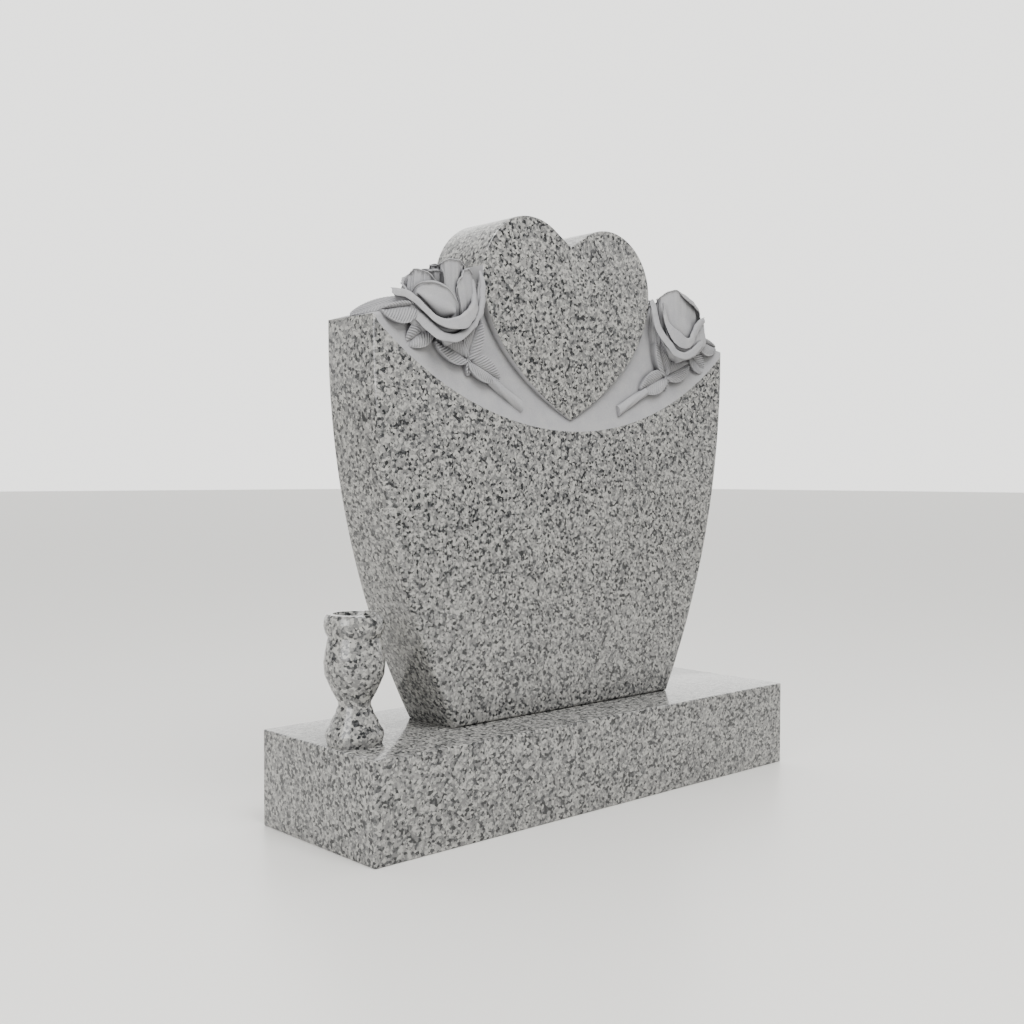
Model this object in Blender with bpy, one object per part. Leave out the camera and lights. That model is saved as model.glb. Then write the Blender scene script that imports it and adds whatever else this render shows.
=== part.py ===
"""Heart headstone: a granite base, a tablet with a heart between two carved roses, and a turned vase.

Metres, +Z up, origin at the middle of the base's underside. X runs along the stone, the face looks to -Y.
The roses, leaves and stems are set out on the left shoulder and mirrored to the right one.
"""
import math

import bmesh
import bpy
from mathutils import Vector

# Stone
GRANITE_GREY = (0.36, 0.36, 0.35)
POLISHED = 0.15

# Base
BASE_WIDTH = 0.980
BASE_DEPTH = 0.300
BASE_HEIGHT = 0.1545
BASE_ARRIS = 0.004
SEAT_GAP = 0.0003

# Tablet block, its sides one long arc that stands upright near the shoulder
FACE_Y = -0.0544
BACK_Y = 0.0721
SHOULDER_HALF = 0.420
SHOULDER_TOP = 0.803
SIDE_RADIUS = 1.300
SIDE_UPRIGHT_Z = 0.780
BLOCK_TOP = 1.020
BLOCK_ARRIS = 0.007

# Heart: a round lobe, a straight run into the notch, and a curve down to the tip
LOBE_CENTRE = (0.095, 0.886)
LOBE_RADIUS = 0.1075
LOBE_TURN = math.radians(120)
NOTCH_Z = 0.9534
HEART_TIP = (0.0, 0.655)
HEART_CHEEK = (0.2025, 0.780)
HEART_CHIN = (0.080, 0.6945)
HEART_ARRIS = 0.003
HEART_PROUD = 0.0002

# Crescent ground, sunk behind the face above an arc, and the sloping shoulders behind it
CRESCENT_LOW_Z = 0.636
CRESCENT_RADIUS = 0.628
SINK_DEPTH = 0.016
SINK_RISE = 0.060
SLOPE = math.tan(math.radians(16.0))
SLOPE_ROUND = 0.007
REAR_ROUND = math.radians(70)
COVE_RADIUS = 0.020
COVE_STEPS = 3
WASTE_PAST = 0.060
RUN_OUT = 0.015

# Rose: its depth is flattened, and each petal is a shell of even thickness around a solid heart
ROSE_FOOT = Vector((-0.279, -0.035, 0.772))
ROSE_FLATTEN = 0.62
PETAL_FOOT = 0.015
PETAL_NARROW = 0.3
SEAT_TOP = 0.016
SEAT_STEP = 0.0011
PETAL_THICK = 0.006
PETAL_ALONG = 3
LIP_STEP = 75
LIP_TAPER = 0.3
LIP_THINNER = 0.7
CORE_RADIUS = 0.042
CORE_HALF = 0.060
CORE_Z = 0.050

# Leaves: the outline is a sine, moved towards the base and made fuller
LEAF_ALONG = 5
LEAF_ACROSS = (-1, -0.5, 0, 0.5, 1)
LEAF_START = 0.06
LEAF_END = 0.98
LEAF_WIDEST = 0.85
LEAF_FULLNESS = 0.8
LEAF_EDGE_DROP = 0.6
LEAF_BURIED = 0.026

# Cut stem
STEM_TOP = Vector((-0.186, -0.050, 0.713))
STEM_CUT = Vector((-0.118, -0.049, 0.6745))
STEM_RADII = (0.0080, 0.0085, 0.0100)
STEM_SIDES = 8

# Vase, standing on the left end of the base
VASE_AT = (-0.442, -0.036)
VASE_STEPS = 20
BORE_RADIUS = 0.028
BORE_FLOOR = 0.090


def clear_scene():
    """Removes whatever the start-up file holds."""
    for thing in list(bpy.data.objects):
        bpy.data.objects.remove(thing, do_unlink=True)


def granite(name):
    """Principled material of the grey polished stone, for one piece."""
    material = bpy.data.materials.new(name)
    material.use_nodes = True
    shader = material.node_tree.nodes["Principled BSDF"]
    shader.inputs["Base Color"].default_value = (*GRANITE_GREY, 1.0)
    shader.inputs["Roughness"].default_value = POLISHED
    return material


def new_object(name, data, material=None):
    """Links one object to the scene, with its material if it has one."""
    thing = bpy.data.objects.new(name, data)
    bpy.context.scene.collection.objects.link(thing)
    if material:
        data.materials.append(material)
    return thing


def finish_mesh(name, bm):
    """Turns a closed bmesh into mesh data whose faces look out."""
    bmesh.ops.recalc_face_normals(bm, faces=bm.faces)
    data = bpy.data.meshes.new(name)
    bm.to_mesh(data)
    bm.free()
    return data


def loft(bm, rings):
    """Skins closed rings of equal length in order, and caps both ends."""
    rows = [[bm.verts.new(point) for point in ring] for ring in rings]
    count = len(rows[0])
    for low, high in zip(rows, rows[1:]):
        for i in range(count):
            j = (i + 1) % count
            bm.faces.new((low[i], low[j], high[j], high[i]))
    bm.faces.new(rows[0])
    bm.faces.new(rows[-1])


def shell(bm, front, back):
    """Closes two grids of points, one behind the other, into one solid."""
    rows = [[bm.verts.new(point) for point in row] for row in front]
    behind = [[bm.verts.new(point) for point in row] for row in back]
    last, across = len(rows) - 1, len(rows[0]) - 1
    for j in range(last):
        for i in range(across):
            bm.faces.new((rows[j][i], rows[j][i + 1], rows[j + 1][i + 1], rows[j + 1][i]))
            bm.faces.new((behind[j][i], behind[j + 1][i], behind[j + 1][i + 1], behind[j][i + 1]))
    for i in range(across):
        bm.faces.new((rows[0][i + 1], rows[0][i], behind[0][i], behind[0][i + 1]))
        bm.faces.new((rows[last][i], rows[last][i + 1], behind[last][i + 1], behind[last][i]))
    for j in range(last):
        bm.faces.new((rows[j][0], rows[j + 1][0], behind[j + 1][0], behind[j][0]))
        bm.faces.new((rows[j + 1][across], rows[j][across], behind[j][across], behind[j + 1][across]))


def bezier(p0, p1, p2, p3, steps):
    """Points on a cubic curve, both ends included."""
    points = []
    for k in range(steps + 1):
        t = k / steps
        weights = ((1 - t) ** 3, 3 * (1 - t) ** 2 * t, 3 * (1 - t) * t * t, t ** 3)
        points.append(tuple(sum(w * c[i] for w, c in zip(weights, (p0, p1, p2, p3))) for i in range(2)))
    return points


def inset_outline(outline, distance):
    """Moves each side of a counter-clockwise outline inwards by a distance."""
    moved = []
    for i, point in enumerate(outline):
        here, before = Vector(point), Vector(outline[i - 1])
        after = Vector(outline[(i + 1) % len(outline)])
        first, second = (here - before).normalized(), (after - here).normalized()
        normal = Vector((-first.y, first.x))
        bisector = (normal + Vector((-second.y, second.x))).normalized()
        moved.append(tuple(here + bisector * (distance / bisector.dot(normal))))
    return moved


def rounded_slab(outline, front, back, arris, steps):
    """Block of an XZ outline between two Y planes, with rounded arrises."""
    quarter = [math.pi / 2 * k / steps for k in range(steps + 1)]
    rings = [(front + arris * (1 - math.cos(a)), arris * (1 - math.sin(a))) for a in quarter]
    rings += [(back + front - y, inset) for y, inset in reversed(rings)]
    bm = bmesh.new()
    loft(bm, [[(x, y, z) for x, z in inset_outline(outline, inset)] for y, inset in rings])
    return bm


def side_half_width(z):
    """Half width of the block at a height."""
    drop = min(0.0, z - SIDE_UPRIGHT_Z)
    return SHOULDER_HALF - SIDE_RADIUS + math.sqrt(SIDE_RADIUS ** 2 - drop ** 2)


def block_outline(steps):
    """Outline of the stone before it is carved."""
    foot = BASE_HEIGHT + SEAT_GAP
    heights = [foot + (SIDE_UPRIGHT_Z - foot) * k / steps for k in range(steps + 1)]
    half = [(side_half_width(z), z) for z in heights]
    half.append((SHOULDER_HALF, BLOCK_TOP))
    return half + [(-x, z) for x, z in reversed(half)]


def heart_outline(chin_steps, lobe_steps):
    """Outline of the heart, from its tip up the right side to the notch and down the left side."""
    cx, cz = LOBE_CENTRE
    half = bezier(HEART_TIP, HEART_CHIN, HEART_CHEEK, (cx + LOBE_RADIUS, cz), chin_steps)
    for k in range(1, lobe_steps + 1):
        turn = LOBE_TURN * k / lobe_steps
        half.append((cx + LOBE_RADIUS * math.cos(turn), cz + LOBE_RADIUS * math.sin(turn)))
    return half + [(0.0, NOTCH_Z)] + [(-x, z) for x, z in reversed(half[1:])]


def shoulder_z(x):
    """Height of the sloping shoulder, with the cove where it meets the heart."""
    wall = LOBE_CENTRE[0] + LOBE_RADIUS
    reach = max(abs(x), wall)
    z = SHOULDER_TOP + (SHOULDER_HALF - reach) * SLOPE
    cove_x = wall + COVE_RADIUS
    cove_z = SHOULDER_TOP + (SHOULDER_HALF - cove_x) * SLOPE + COVE_RADIUS * math.hypot(1, SLOPE)
    if reach < cove_x:
        z = max(z, cove_z - math.sqrt(max(0.0, COVE_RADIUS ** 2 - (cove_x - reach) ** 2)))
    return z


def crescent_z(x):
    """Height of the crescent's lower edge on the face."""
    edge = CRESCENT_LOW_Z + CRESCENT_RADIUS - math.sqrt(CRESCENT_RADIUS ** 2 - x * x)
    return min(edge, shoulder_z(x) - SLOPE_ROUND)


def sink(rise):
    """Depth of the ground behind the face, for a height above the crescent's edge."""
    if rise < 0:
        return SINK_DEPTH / SINK_RISE * rise
    return SINK_DEPTH * (1 - math.exp(-rise / SINK_RISE))


def waste_section(x, ground_steps, round_steps):
    """Closed YZ section of the stone that is cut away at one place along the tablet."""
    low, top = crescent_z(x), shoulder_z(x)
    round_start = top - SLOPE_ROUND
    front, back, above = FACE_Y - WASTE_PAST, BACK_Y + WASTE_PAST, BLOCK_TOP + WASTE_PAST
    section = [(front, low - RUN_OUT), (FACE_Y + sink(-RUN_OUT), low - RUN_OUT)]
    for k in range(ground_steps + 1):
        rise = (round_start - low) * (k / ground_steps) ** 1.5
        section.append((FACE_Y + sink(rise), low + rise))
    edge_y = FACE_Y + sink(round_start - low) + SLOPE_ROUND
    for k in range(1, round_steps + 1):
        a = math.pi / 2 * k / round_steps
        section.append((edge_y - SLOPE_ROUND * math.cos(a), round_start + SLOPE_ROUND * math.sin(a)))
    for k in range(round_steps + 1):
        a = REAR_ROUND * k / round_steps
        section.append((BACK_Y - SLOPE_ROUND * (1 - math.sin(a)), round_start + SLOPE_ROUND * math.cos(a)))
    section += [(back, round_start + SLOPE_ROUND * math.cos(REAR_ROUND)), (back, above), (front, above)]
    return [(x, y, z) for y, z in section]


def waste_stations(steps):
    """Places along the tablet where the waste is measured, closer together at the cove."""
    wall = LOBE_CENTRE[0] + LOBE_RADIUS
    cove_end = wall + COVE_RADIUS
    outer = SHOULDER_HALF + WASTE_PAST - cove_end
    half = [wall * k / steps for k in range(steps)]
    half += [wall + COVE_RADIUS * k / COVE_STEPS for k in range(COVE_STEPS)]
    half += [cove_end + outer * k / steps for k in range(steps + 1)]
    return [-x for x in reversed(half[1:])] + half


def cutter(name, data):
    """Object that only shapes another one."""
    tool = new_object(name, data)
    tool.hide_render = True
    tool.display_type = "WIRE"
    return tool


def boolean(target, tool, operation, use_self=False):
    """Adds a Boolean modifier that joins or cuts one object with another."""
    modifier = target.modifiers.new(tool.name, "BOOLEAN")
    modifier.operation = operation
    modifier.solver = "EXACT"
    modifier.use_self = use_self
    modifier.object = tool


def carved_waste():
    """Cutter for the crescent and the shoulders, which leaves the heart standing."""
    bm = bmesh.new()
    loft(bm, [waste_section(x, 5, 2) for x in waste_stations(6)])
    waste = cutter("waste", finish_mesh("waste", bm))
    heart = rounded_slab(heart_outline(8, 8), FACE_Y - HEART_PROUD, BACK_Y + HEART_PROUD, HEART_ARRIS, 1)
    boolean(waste, cutter("heart_form", finish_mesh("heart_form", heart)), "DIFFERENCE")
    return waste


def blend(middle, inner, outer, s):
    """Value across a petal: inner at s = -1, middle at 0, outer at 1."""
    return middle + (outer - inner) / 2 * s + ((outer + inner) / 2 - middle) * s * s


def petal(bm, seat, turn, spread, rise, reach, belly, lip=0.0045, curl=80, across=6):
    """One rose petal: a cupped shell from the flower's foot to a rim that rolls outwards.

    seat is the height of its root. turn and spread are degrees around the flower, 0 at the front and
    growing outwards. rise and reach give the rim's height and radius at the petal's middle, inner and outer
    side. belly is the radius half way up, and lip and curl are the roll's radius and angle.
    """
    outer, inner = [], []
    for i in range(across + 1):
        s = 2 * i / across - 1
        roll = lip * (1 - LIP_TAPER * s * s)
        profile = petal_profile(seat, blend(*rise, s), blend(*reach, s), belly, roll, curl)
        for sheet, way in ((outer, 0.5), (inner, -0.5)):
            column = []
            for (r, z), t in offset_profile(profile, way * PETAL_THICK):
                angle = math.radians(turn + spread * s * (1 - PETAL_NARROW * (1 - t)))
                place = Vector((-r * math.sin(angle), -r * math.cos(angle) * ROSE_FLATTEN, z))
                column.append(ROSE_FOOT + place)
            sheet.append(column)
    shell(bm, outer, inner)


def petal_profile(seat, rise, reach, belly, lip, curl):
    """Upright section of a petal as points of radius, height and share of the way to the rim."""
    bulge = 2 * belly - 0.5 * (PETAL_FOOT + reach)
    points = []
    for j in range(PETAL_ALONG + 1):
        t = j / PETAL_ALONG
        r = (1 - t) ** 2 * PETAL_FOOT + 2 * (1 - t) * t * bulge + t * t * reach
        points.append((r, seat + (rise - seat) * t * (0.35 + 0.65 * t), t))
    steps = round(curl / LIP_STEP)
    for k in range(1, steps + 1):
        a = math.radians(curl) * k / steps
        points.append((reach + lip * (1 - math.cos(a)), rise + lip * math.sin(a), 1.0))
    return points


def offset_profile(profile, distance):
    """Moves a petal's section sideways, outwards where the distance is positive; the lip is thinner."""
    moved = []
    last = len(profile) - 1
    for j, (r, z, t) in enumerate(profile):
        before, after = profile[max(j - 1, 0)], profile[min(j + 1, last)]
        run = Vector((after[0] - before[0], after[1] - before[1])).normalized()
        depth = distance * (LIP_THINNER if j >= PETAL_ALONG else 1.0)
        moved.append(((r + run.y * depth, z - run.x * depth), t))
    return moved


def rose_heart(bm):
    """Solid core of the rose, which the petals grow from."""
    size = Vector((CORE_RADIUS, CORE_RADIUS * ROSE_FLATTEN, CORE_HALF))
    core = bmesh.ops.create_uvsphere(bm, u_segments=8, v_segments=5, radius=1.0)
    for vert in core["verts"]:
        vert.co = ROSE_FOOT + vert.co * size + Vector((0, 0, CORE_Z))


ROSE_PETALS = (
    dict(turn=10, spread=75, rise=(0.127, 0.121, 0.119), reach=(0.018, 0.016, 0.016), belly=0.030,
         across=4),
    dict(turn=125, spread=64, rise=(0.110, 0.113, 0.096), reach=(0.051, 0.040, 0.050), belly=0.060,
         across=5),
    dict(turn=42, spread=60, rise=(0.117, 0.114, 0.108), reach=(0.038, 0.032, 0.042), belly=0.047),
    dict(turn=-22, spread=54, rise=(0.117, 0.110, 0.050), reach=(0.045, 0.048, 0.046), belly=0.057),
    dict(turn=50, spread=46, rise=(0.097, 0.048, 0.086), reach=(0.053, 0.048, 0.056), belly=0.061),
    dict(turn=-150, spread=64, rise=(0.114, 0.104, 0.104), reach=(0.044, 0.046, 0.044), belly=0.056,
         across=4),
    dict(turn=25, spread=86, rise=(0.020, 0.080, 0.078), reach=(0.057, 0.062, 0.078), belly=0.053,
         lip=0.006, curl=150),
    dict(turn=20, spread=75, rise=(-0.002, 0.040, 0.042), reach=(0.050, 0.052, 0.058), belly=0.043,
         lip=0.006, curl=150),
    dict(turn=-90, spread=26, rise=(0.114, 0.106, 0.094), reach=(0.072, 0.072, 0.069), belly=0.062,
         across=3),
    dict(turn=170, spread=70, rise=(0.060, 0.070, 0.070), reach=(0.056, 0.056, 0.062), belly=0.052,
         lip=0.006, curl=150, across=4),
)


def leaf(bm, base, tip, width, facing, fold=0.004, bow=0.006):
    """One rose leaf: an oval blade with two rounded halves beside its rib, rising from the ground."""
    base, along = Vector(base), Vector(tip) - Vector(base)
    length = along.length
    along.normalize()
    side = along.cross(Vector(facing)).normalized()
    out = side.cross(along)
    front, back = [], []
    for j in range(LEAF_ALONG + 1):
        t = j / LEAF_ALONG
        along_leaf = LEAF_START + (LEAF_END - LEAF_START) * t
        share = math.sin(math.pi * along_leaf ** LEAF_WIDEST) ** LEAF_FULLNESS
        spine = base + along * (length * t) + out * (bow * math.sin(math.pi * t))
        row = []
        for s in LEAF_ACROSS:
            puff = fold * share * (math.sin(math.pi * abs(s)) - LEAF_EDGE_DROP * abs(s))
            row.append(spine + side * (width / 2 * share * s) + out * puff)
        front.append(row)
        back.append([point - out * LEAF_BURIED for point in row])
    shell(bm, front, back)


LEAVES = (
    dict(base=(-0.340, -0.058, 0.811), tip=(-0.409, -0.056, 0.806), width=0.032, facing=(0, -1, 0.5)),
    dict(base=(-0.320, -0.062, 0.791), tip=(-0.362, -0.060, 0.762), width=0.038, facing=(0, -1, 0.1)),
    dict(base=(-0.239, -0.061, 0.745), tip=(-0.304, -0.063, 0.778), width=0.038, facing=(0, -1, 0.1)),
    dict(base=(-0.239, -0.061, 0.747), tip=(-0.219, -0.066, 0.811), width=0.036, facing=(0, -1, 0.1)),
    dict(base=(-0.239, -0.061, 0.742), tip=(-0.174, -0.059, 0.717), width=0.038, facing=(0, -1, 0.1)),
    dict(base=(-0.325, -0.015, 0.838), tip=(-0.4185, 0.008, 0.807), width=0.032, facing=(-0.2, -0.6, 1),
         bow=0.003),
    dict(base=(-0.239, -0.058, 0.746), tip=(-0.237, -0.056, 0.720), width=0.012, facing=(0, -1, 0.1)),
)


def stem(bm):
    """Cut stem below the leaves: a round rod that swells to its cut end."""
    along = (STEM_CUT - STEM_TOP).normalized()
    out = Vector((0, -1, 0))
    side = along.cross(out).normalized()
    rings = []
    for k, radius in enumerate(STEM_RADII):
        centre = STEM_TOP.lerp(STEM_CUT, k / (len(STEM_RADII) - 1))
        turns = [2 * math.pi * j / STEM_SIDES for j in range(STEM_SIDES)]
        rings.append([centre + side * (radius * math.cos(a)) + out * (radius * math.sin(a)) for a in turns])
    loft(bm, rings)


def rose_spray(bm):
    """One rose with its leaves and stem, as overlapping closed shells."""
    rose_heart(bm)
    for number, values in enumerate(ROSE_PETALS):
        petal(bm, SEAT_TOP - SEAT_STEP * number, **values)
    for values in LEAVES:
        leaf(bm, **values)
    stem(bm)


def both_sprays():
    """The left spray and its mirror image, as one tool for the union."""
    bm = bmesh.new()
    rose_spray(bm)
    left = list(bm.verts)
    rose_spray(bm)
    for vert in list(bm.verts)[len(left):]:
        vert.co.x = -vert.co.x
    bmesh.ops.triangulate(bm, faces=bm.faces)
    return cutter("sprays", finish_mesh("sprays", bm))


def outer_skin(thing):
    """Applies the modifiers and keeps the outer skin only, so pockets closed off by petals are solid."""
    data = bpy.data.meshes.new_from_object(thing.evaluated_get(bpy.context.evaluated_depsgraph_get()))
    bm = bmesh.new()
    bm.from_mesh(data)
    lowest = min(bm.verts, key=lambda vert: vert.co.z)
    outside, edge_of_search = {lowest}, [lowest]
    while edge_of_search:
        vert = edge_of_search.pop()
        found = [edge.other_vert(vert) for edge in vert.link_edges]
        edge_of_search += [other for other in found if other not in outside]
        outside.update(found)
    bmesh.ops.delete(bm, geom=[vert for vert in bm.verts if vert not in outside], context="VERTS")
    bm.to_mesh(data)
    bm.free()
    thing.modifiers.clear()
    thing.data = data


def make_tablet():
    """Upright stone: block, less the waste around the heart, with the two sprays."""
    block = rounded_slab(block_outline(10), FACE_Y, BACK_Y, BLOCK_ARRIS, 2)
    tablet = new_object("tablet", finish_mesh("tablet", block), granite("tablet_granite"))
    boolean(tablet, carved_waste(), "DIFFERENCE")
    boolean(tablet, both_sprays(), "UNION", use_self=True)
    outer_skin(tablet)


def make_base():
    """Base slab with small arrises."""
    bm = bmesh.new()
    bmesh.ops.create_cube(bm, size=1.0)
    for vert in bm.verts:
        vert.co = Vector((vert.co.x * BASE_WIDTH, vert.co.y * BASE_DEPTH, (vert.co.z + 0.5) * BASE_HEIGHT))
    base = new_object("base", finish_mesh("base", bm), granite("base_granite"))
    bevel = base.modifiers.new("arris", "BEVEL")
    bevel.width = BASE_ARRIS
    bevel.segments = 2


def vase_profile():
    """Vase profile as radius and height, up the bore, over the rim and down the outside."""
    bore = [(0.0, BORE_FLOOR - 0.006), (0.0160, BORE_FLOOR), (BORE_RADIUS, BORE_FLOOR + 0.012)]
    bore += [(0.0300, 0.1900)]
    rim = [(0.0325, 0.1970), (0.0405, 0.1970), (0.0440, 0.1900), (0.0455, 0.1800), (0.0430, 0.1690)]
    body = [(0.0388, 0.1620), (0.0425, 0.1430), (0.0455, 0.1240), (0.0437, 0.1050), (0.0340, 0.0820)]
    foot = [(0.0242, 0.0640), (0.0240, 0.0580), (0.0270, 0.0520), (0.0280, 0.0470), (0.0350, 0.0350)]
    low = [(0.0355, 0.0310), (0.0425, 0.0200), (0.0435, 0.0130), (0.0400, 0.0), (0.0, 0.0)]
    return bore + rim + body + foot + low


def make_vase():
    """Turned vase with a bored mouth."""
    bm = bmesh.new()
    verts = [bm.verts.new((r, 0, z)) for r, z in vase_profile()]
    for low, high in zip(verts, verts[1:]):
        bm.edges.new((low, high))
    data = bpy.data.meshes.new("vase")
    bm.to_mesh(data)
    bm.free()
    vase = new_object("vase", data, granite("vase_granite"))
    vase.location = (*VASE_AT, BASE_HEIGHT + SEAT_GAP)
    screw = vase.modifiers.new("turned", "SCREW")
    screw.steps = VASE_STEPS
    screw.render_steps = VASE_STEPS
    screw.use_merge_vertices = True
    screw.merge_threshold = 0.0001


clear_scene()
make_base()
make_tablet()
make_vase()
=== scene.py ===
"""Heart headstone, dressed: polished speckled granite, and roses carved matt on its sloping shoulders."""

import math

import bmesh
import bpy
import numpy as np
from mathutils import Matrix, Vector


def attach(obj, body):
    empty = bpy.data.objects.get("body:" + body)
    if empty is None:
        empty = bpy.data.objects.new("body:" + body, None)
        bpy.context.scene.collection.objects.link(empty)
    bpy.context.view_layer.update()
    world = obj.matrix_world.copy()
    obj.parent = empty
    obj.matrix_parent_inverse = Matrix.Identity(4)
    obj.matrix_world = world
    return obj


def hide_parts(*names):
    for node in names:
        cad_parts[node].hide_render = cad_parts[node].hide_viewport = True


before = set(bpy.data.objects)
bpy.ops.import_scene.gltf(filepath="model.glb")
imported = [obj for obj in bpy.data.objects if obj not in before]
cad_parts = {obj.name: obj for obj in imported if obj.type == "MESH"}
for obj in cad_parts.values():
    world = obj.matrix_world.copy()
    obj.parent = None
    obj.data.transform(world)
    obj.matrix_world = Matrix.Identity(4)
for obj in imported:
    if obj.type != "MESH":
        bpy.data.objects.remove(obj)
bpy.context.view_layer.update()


# Base: one sawn slab of light grey granite, polished on its top and sides, that lies on the ground
# and carries the tablet and the vase. Its arrises are eased by hand.
BASE_SIZE = Vector((0.980, 0.300, 0.1545))
BASE_ARRIS = 0.0025
CRYSTALS_PER_M = 225.0
CRYSTAL_SHADES = ("steps", (0.0, (0.017, 0.018, 0.019)), (0.13, (0.060, 0.061, 0.062)),
                  (0.25, (0.142, 0.141, 0.138)), (0.48, (0.226, 0.223, 0.214)), (0.76, (0.332, 0.327, 0.308)))
RAGGED_PER_M = 300.0
RAGGED_BY = 0.0034
CLUSTERS_PER_M = 110.0
CLUSTER_SHARE = 0.7
FLECKS_PER_M = 420.0
FLECK_FROM = 0.90
FLECK_STRENGTH = 0.7
FLECK_COLOUR = (0.050, 0.052, 0.055, 1.0)
FLECK_DULLING = 0.08
POLISH_ROUGHNESS = 0.12
GRANITE_IOR = 1.54
NOISE_DETAIL = 3.0


class Grain:
    """A value that varies through the stone: it wraps one socket of a material's node tree."""

    def __init__(self, tree, socket=None):
        self.tree = tree
        self.socket = socket

    def node(self, kind, settings=(), sockets=(), out=0):
        """Adds a node: its settings first, then values or links for its sockets."""
        made = self.tree.nodes.new(kind)
        for name, value in dict(settings).items():
            if name == "stops":
                ramp = made.color_ramp
                ramp.interpolation = "CONSTANT" if value[0] == "steps" else "LINEAR"
                while len(ramp.elements) < len(value) - 1:
                    ramp.elements.new(0.5)
                for stop, (place, shade) in zip(ramp.elements, value[1:]):
                    stop.position = place
                    stop.color = (*shade, 1.0)
            else:
                setattr(made, name, value)
        for name, value in dict(sockets).items():
            if isinstance(value, Grain):
                self.tree.links.new(value.socket, made.inputs[name])
            else:
                made.inputs[name].default_value = value
        return Grain(self.tree, made.outputs[out])

    def feeds(self, shader, name):
        """Links this value to a socket of a shader that is already there."""
        self.tree.links.new(self.socket, shader.inputs[name])

    def maths(self, operation, first, second):
        """Adds one Math node."""
        return self.node("ShaderNodeMath", {"operation": operation}, {0: first, 1: second})

    def __add__(self, other):
        return self.maths("ADD", self, other)

    __radd__ = __add__

    def __sub__(self, other):
        return self.maths("SUBTRACT", self, other)

    def __rsub__(self, other):
        return self.maths("SUBTRACT", other, self)

    def __mul__(self, other):
        return self.maths("MULTIPLY", self, other)

    __rmul__ = __mul__

    def __gt__(self, other):
        return self.maths("GREATER_THAN", self, other)


def stone_material(name):
    """New material, its Principled shader, and a grain to lay the nodes from."""
    material = bpy.data.materials.new(name)
    material.use_nodes = True
    return material, material.node_tree.nodes["Principled BSDF"], Grain(material.node_tree)


def polished_granite(name):
    """Crystals a few millimetres across: black mica, grey quartz and white feldspar, under a wet-looking polish."""
    material, shader, stone = stone_material(name)
    place = stone.node("ShaderNodeTexCoord", out="Object")
    ragged = stone.node("ShaderNodeTexNoise",
                        sockets={"Vector": place, "Scale": RAGGED_PER_M, "Detail": NOISE_DETAIL}, out="Color")
    bent = stone.node("ShaderNodeVectorMath", {"operation": "MULTIPLY_ADD"},
                      {0: ragged, 1: (RAGGED_BY, RAGGED_BY, RAGGED_BY), 2: place})
    crystal = stone.node("ShaderNodeTexVoronoi", sockets={"Vector": bent, "Scale": CRYSTALS_PER_M}, out="Color")
    pick = stone.node("ShaderNodeSeparateColor", sockets={"Color": crystal}, out="Red")
    cluster = stone.node("ShaderNodeTexNoise",
                         sockets={"Vector": place, "Scale": CLUSTERS_PER_M, "Detail": NOISE_DETAIL})
    shades = stone.node("ShaderNodeValToRGB", {"stops": CRYSTAL_SHADES},
                        {"Fac": pick + (cluster - 0.5) * CLUSTER_SHARE})
    flecks = stone.node("ShaderNodeTexVoronoi", sockets={"Vector": bent, "Scale": FLECKS_PER_M}, out="Color")
    fleck = stone.node("ShaderNodeSeparateColor", sockets={"Color": flecks}, out="Green") > FLECK_FROM
    colour = stone.node("ShaderNodeMix", {"data_type": "RGBA"},
                        {0: fleck * FLECK_STRENGTH, 6: shades, 7: FLECK_COLOUR}, out=2)
    colour.feeds(shader, "Base Color")
    (POLISH_ROUGHNESS + fleck * FLECK_DULLING).feeds(shader, "Roughness")
    shader.inputs["IOR"].default_value = GRANITE_IOR
    return material


def shaded(data, angle):
    """Smooth shading, kept crisp where two faces meet at more than an angle in degrees."""
    data.polygons.foreach_set("use_smooth", [True] * len(data.polygons))
    data.set_sharp_from_angle(angle=math.radians(angle))


def carve(name, bm, material):
    """Turns a bmesh into an object of one material in the scene."""
    bmesh.ops.recalc_face_normals(bm, faces=bm.faces)
    data = bpy.data.meshes.new(name)
    bm.to_mesh(data)
    bm.free()
    data.materials.append(material)
    piece = bpy.data.objects.new(name, data)
    bpy.context.scene.collection.objects.link(piece)
    return piece


bm = bmesh.new()
bmesh.ops.create_cube(bm, size=1.0)
for vert in bm.verts:
    vert.co = (vert.co + Vector((0, 0, 0.5))) * BASE_SIZE
bmesh.ops.bevel(bm, geom=bm.edges[:], offset=BASE_ARRIS, segments=5, profile=0.5, affect="EDGES")
base_slab = carve("base_slab", bm, polished_granite("base_polish"))
shaded(base_slab.data, angle=40)
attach(base_slab, "root")
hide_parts("base")


# Tablet: the upright stone, sawn from a slab of the same granite. Its sides are long arcs, and its top
# is cut away around a standing heart: sloping shoulders, and a crescent sunk behind the polished face.
FACE_Y = -0.0544
BACK_Y = 0.0721
SHOULDER_HALF = 0.420
SHOULDER_TOP = 0.803
SIDE_RADIUS = 1.300
SIDE_UPRIGHT_Z = 0.780
SEAT_GAP = 0.0003
TABLET_FOOT = BASE_SIZE.z + SEAT_GAP
BLOCK_TOP = 1.020
BLOCK_ARRIS = 0.007
LOBE_CENTRE = (0.095, 0.886)
LOBE_RADIUS = 0.1075
LOBE_TURN = math.radians(120)
NOTCH_Z = 0.9534
HEART_LOWER = ((0.0, 0.655), (0.080, 0.6945), (0.2025, 0.780), (0.2025, 0.886))
HEART_ARRIS = 0.003
HEART_WALL = LOBE_CENTRE[0] + LOBE_RADIUS
CRESCENT_LOW_Z = 0.636
CRESCENT_RADIUS = 0.628
SINK_DEPTH = 0.016
SINK_RISE = 0.060
RUN_OUT = 0.015
SLOPE = math.tan(math.radians(16.0))
SLOPE_ROUND = 0.007
BACK_ROUND_TURN = math.radians(70)
COVE_RADIUS = 0.020
GROUND_CROWDING = 1.5
WASTE_PAST = 0.060
WASTE_STATIONS = 241
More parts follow.
